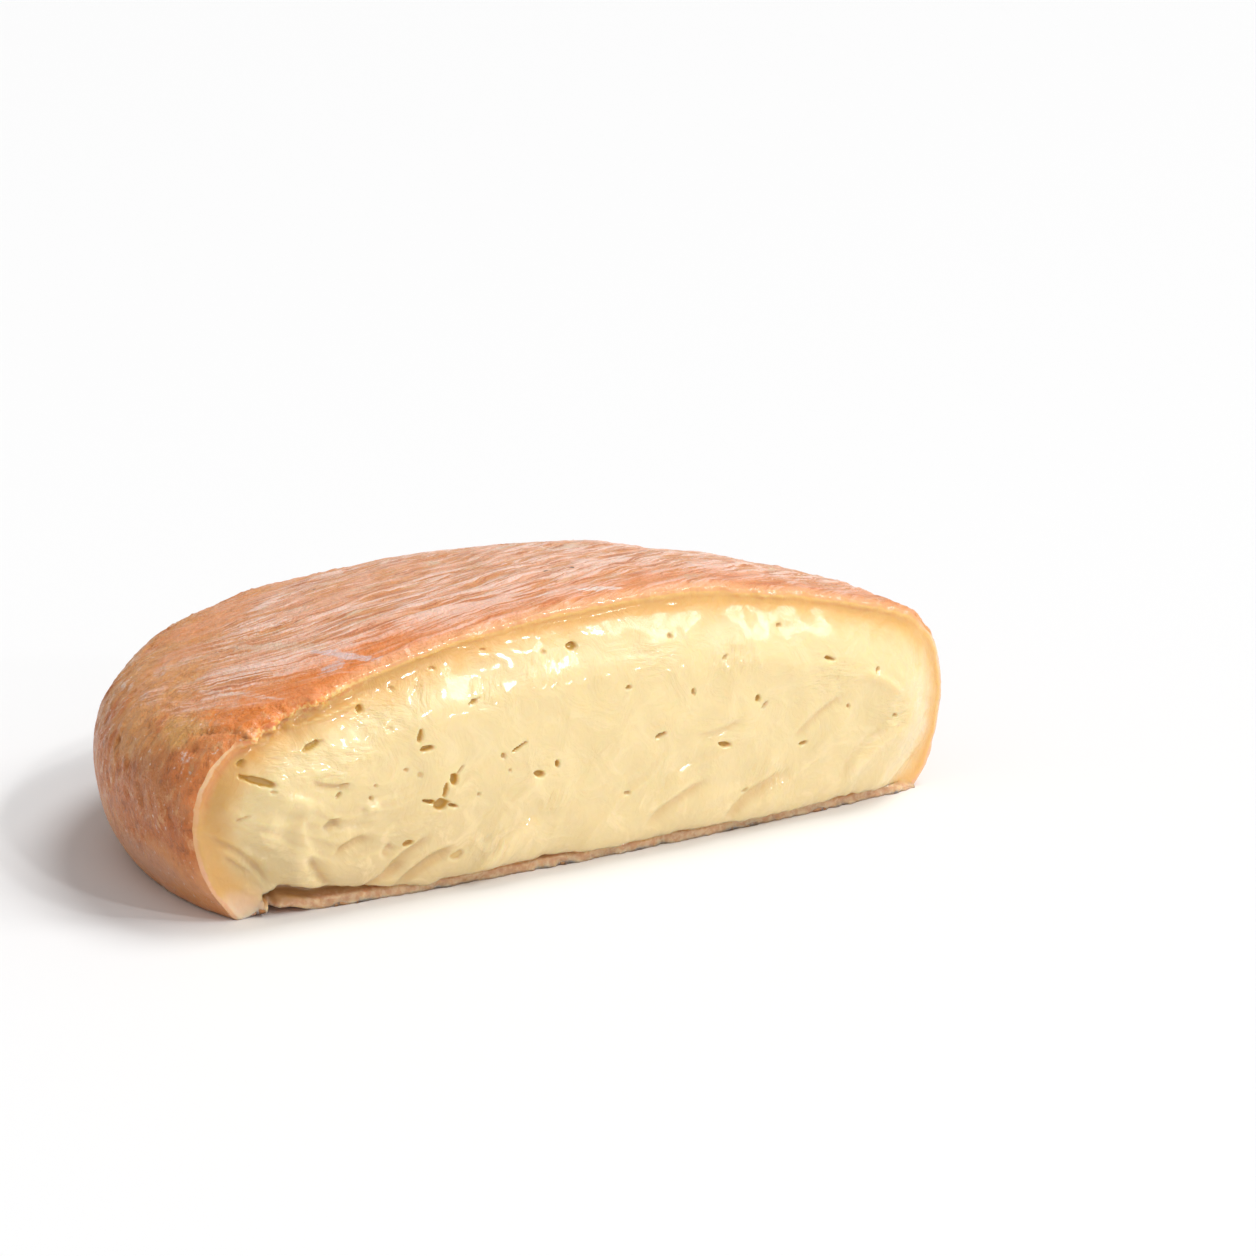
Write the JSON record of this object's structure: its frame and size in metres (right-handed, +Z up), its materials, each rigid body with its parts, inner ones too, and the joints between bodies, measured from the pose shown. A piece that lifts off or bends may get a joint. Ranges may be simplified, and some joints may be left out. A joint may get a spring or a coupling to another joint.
{
  "type": "cheese wheel",
  "caption": "Larger part of a soft washed-rind cheese wheel, cut once straight across, with an orange rind and pale swelling paste.",
  "frame": {"origin": "on the flat underside, under the middle of the object's bounding box", "axes": "+Z up from the underside through the domed top; +X along the cut; the cut faces -Y"},
  "size_m": [0.19, 0.1204, 0.055],
  "materials": {
    "cheese": null
  },
  "bodies": {
    "root": {"cheese_wheel": "cheese"}
  },
  "joints": []
}
